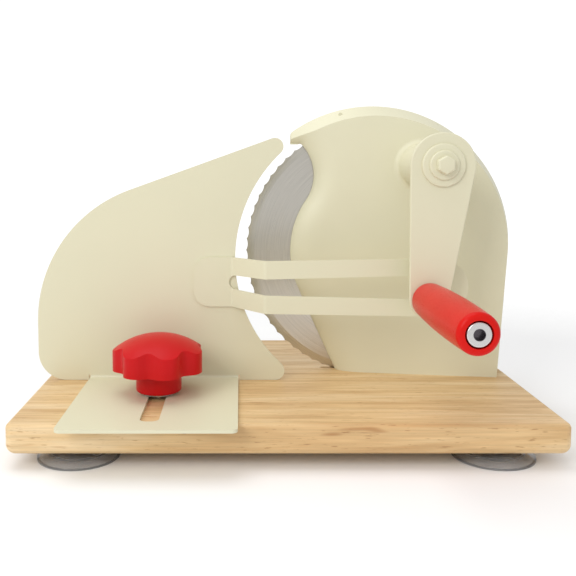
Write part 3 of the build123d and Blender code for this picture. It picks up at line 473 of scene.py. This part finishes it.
seat = arm_front
for name, node, sides, radius, thick, edge_round, corner_round in (
    ("large_disc", "arm_washer_large", disc_sides, large_disc_radius, disc_step, disc_round, 0),
    ("small_disc", "arm_washer_small", disc_sides, small_disc_radius, disc_step, disc_round, 0),
    ("bolt_head", "crank_bolt", 6, bolt_across_flats / 3 ** 0.5, bolt_head_high,
     bolt_front_round, bolt_corner_round),
):
    piece = turned_on_crank(name, sides, radius, seat - thick, seat, edge_round, corner_round)
    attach(piece, "crank")
    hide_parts(node)
    seat -= thick


# ---------------------------------------------------------------- grip and its screw
# Barrel grip moulded in smooth red plastic. It turns on a zinc plated socket screw whose socket is
# darkened with painted shade. The painted shade fills a circle, so the socket's six sides don't
# show.
# Radius of the painted shade in the screw's socket, and how soft its edge is.
painted_shade_radius = 3.2 * MM
painted_shade_edge = 1.04


def red_material(name, colour, roughness):
    red, shader = made_surface(
        name, colour, roughness, 0.05, cloud_scale=30.0, grain_scale=1500.0,
        rough_low=roughness * 0.85, rough_high=roughness * 1.15, tone_low=0.93,
    )
    shader.inputs["Specular IOR Level"].default_value = 0.14
    return red


def socket_screw_painted_shade_material():
    """Zinc plating with painted shade filling a round middle, over the socket."""
    metal, tree, shader = new_material("socket_screw_zinc_painted_shade", (0.70, 0.70, 0.69), 0.28, 1.0)
    radius = round_axis(tree, "handle_bolt")[2]
    outside_painted_shade = map_range(tree, radius, (painted_shade_radius, painted_shade_radius * painted_shade_edge))
    # The dark colour inside the circle is painted shade standing in for the socket's recess.
    tone = ramp(tree, outside_painted_shade, (0.0, (0.10, 0.09, 0.10)), (1.0, (0.70, 0.69, 0.68)))
    tree.links.new(tone, shader.inputs["Base Color"])
    marks = noise(tree, object_pattern(tree), 900.0, 2.0)
    rough = ramp(tree, marks, (0.3, grey(0.20)), (0.7, grey(0.34)))
    tree.links.new(rough, shader.inputs["Roughness"])
    return metal


dress("crank_handle", red_material("red_grip_plastic", (0.63, 0.008, 0.005), 0.30))
dress("handle_bolt", socket_screw_painted_shade_material())


# ---------------------------------------------------------------- clamp knob
# Star knob moulded in the same red plastic: a round hub, seven broad lobes with upright sides, and
# one low dome over all of it, with softly rounded edges. The hub is drawn without the stud's bore.
stud_low, stud_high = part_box("knob_stud")
knob_x, knob_y = [(stud_low[i] + stud_high[i]) / 2 for i in (0, 1)]
hub_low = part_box("clamp_knob")[0][2]
hub_sides = 72
hub_radius = 15.0 * MM
hub_long = 14.2 * MM
hub_round = 1.6 * MM
hub_in_star = 1.0 * MM
lobes = 7
steps_per_lobe = 20
tip_radius = 30.2 * MM
valley_radius = 25.6 * MM
lobe_breadth = 1.5
first_lobe = 31.0
side_high = 13.2 * MM
dome_high = 10.6 * MM
star_round = 1.2 * MM
star_low = hub_low + hub_long


def star_column():
    """Round plate whose edge is drawn in between the lobes, pulled up past the dome."""
    bpy.ops.object.select_all(action="DESELECT")
    bpy.ops.mesh.primitive_circle_add(
        vertices=lobes * steps_per_lobe, radius=tip_radius, fill_type="NGON",
        location=(knob_x, knob_y, star_low), rotation=(0, 0, radians(first_lobe - 90)),
    )
    column = bpy.context.object
    bpy.ops.object.transform_apply(location=True, rotation=True, scale=True)
    for step in range(1, steps_per_lobe):
        between = (1 - cos(2 * pi * step / steps_per_lobe)) / 2
        radius = tip_radius - (tip_radius - valley_radius) * between ** lobe_breadth
        share = radius / tip_radius
        select_in_edit(column, "VERT", lambda point: point.index % steps_per_lobe == step)
        bpy.ops.transform.resize(
            value=(share, share, 1), center_override=(knob_x, knob_y, star_low)
        )
        bpy.ops.object.mode_set(mode="OBJECT")
    select_in_edit(column, "FACE", lambda face: True)
    rise = (0, 0, side_high + dome_high)
    bpy.ops.mesh.extrude_region_move(TRANSFORM_OT_translate={"value": rise})
    bpy.ops.mesh.select_all(action="SELECT")
    bpy.ops.mesh.normals_make_consistent(inside=False)
    bpy.ops.object.mode_set(mode="OBJECT")
    return column


def dome_ball():
    """Ball whose top is the dome over the star."""
    radius = (tip_radius ** 2 + dome_high ** 2) / (2 * dome_high)
    top = star_low + side_high + dome_high
    bpy.ops.mesh.primitive_uv_sphere_add(
        segments=140, ring_count=110, radius=radius, location=(knob_x, knob_y, top - radius)
    )
    bpy.ops.object.transform_apply(location=True, rotation=True, scale=True)
    return bpy.context.object


def knob_hub():
    """Round hub that reaches a little into the star, rounded below."""
    bpy.ops.object.select_all(action="DESELECT")
    high = hub_long + hub_in_star
    bpy.ops.mesh.primitive_cylinder_add(
        vertices=hub_sides, radius=hub_radius, depth=high,
        location=(knob_x, knob_y, hub_low + high / 2),
    )
    hub = bpy.context.object
    bpy.ops.object.transform_apply(location=True, rotation=True, scale=True)
    bevel_edges(hub, lambda a, b: max(a.z, b.z) < hub_low + touch, hub_round, 4)


def apply_modifier(piece, kind, **values):
    bpy.ops.object.select_all(action="DESELECT")
    bpy.context.view_layer.objects.active = piece
    piece.select_set(True)
    modifier = piece.modifiers.new(kind, kind)
    for name, value in values.items():
        setattr(modifier, name, value)
    bpy.ops.object.modifier_apply(modifier=modifier.name)


star = star_column()
ball = dome_ball()
apply_modifier(star, "BOOLEAN", operation="INTERSECT", object=ball, solver="EXACT")
bpy.data.objects.remove(ball)
apply_modifier(
    star, "BEVEL", width=star_round, segments=4, limit_method="ANGLE", angle_limit=radians(40)
)
knob_hub()
star.select_set(True)
bpy.context.view_layer.objects.active = star
bpy.ops.object.join()
star.name = "star_knob"
bpy.ops.object.shade_smooth_by_angle(angle=smooth_angle)
star.data.materials.clear()
star.data.materials.append(red_material("red_knob_plastic", (0.55, 0.008, 0.010), 0.34))
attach(star, "knob")
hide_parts("clamp_knob")
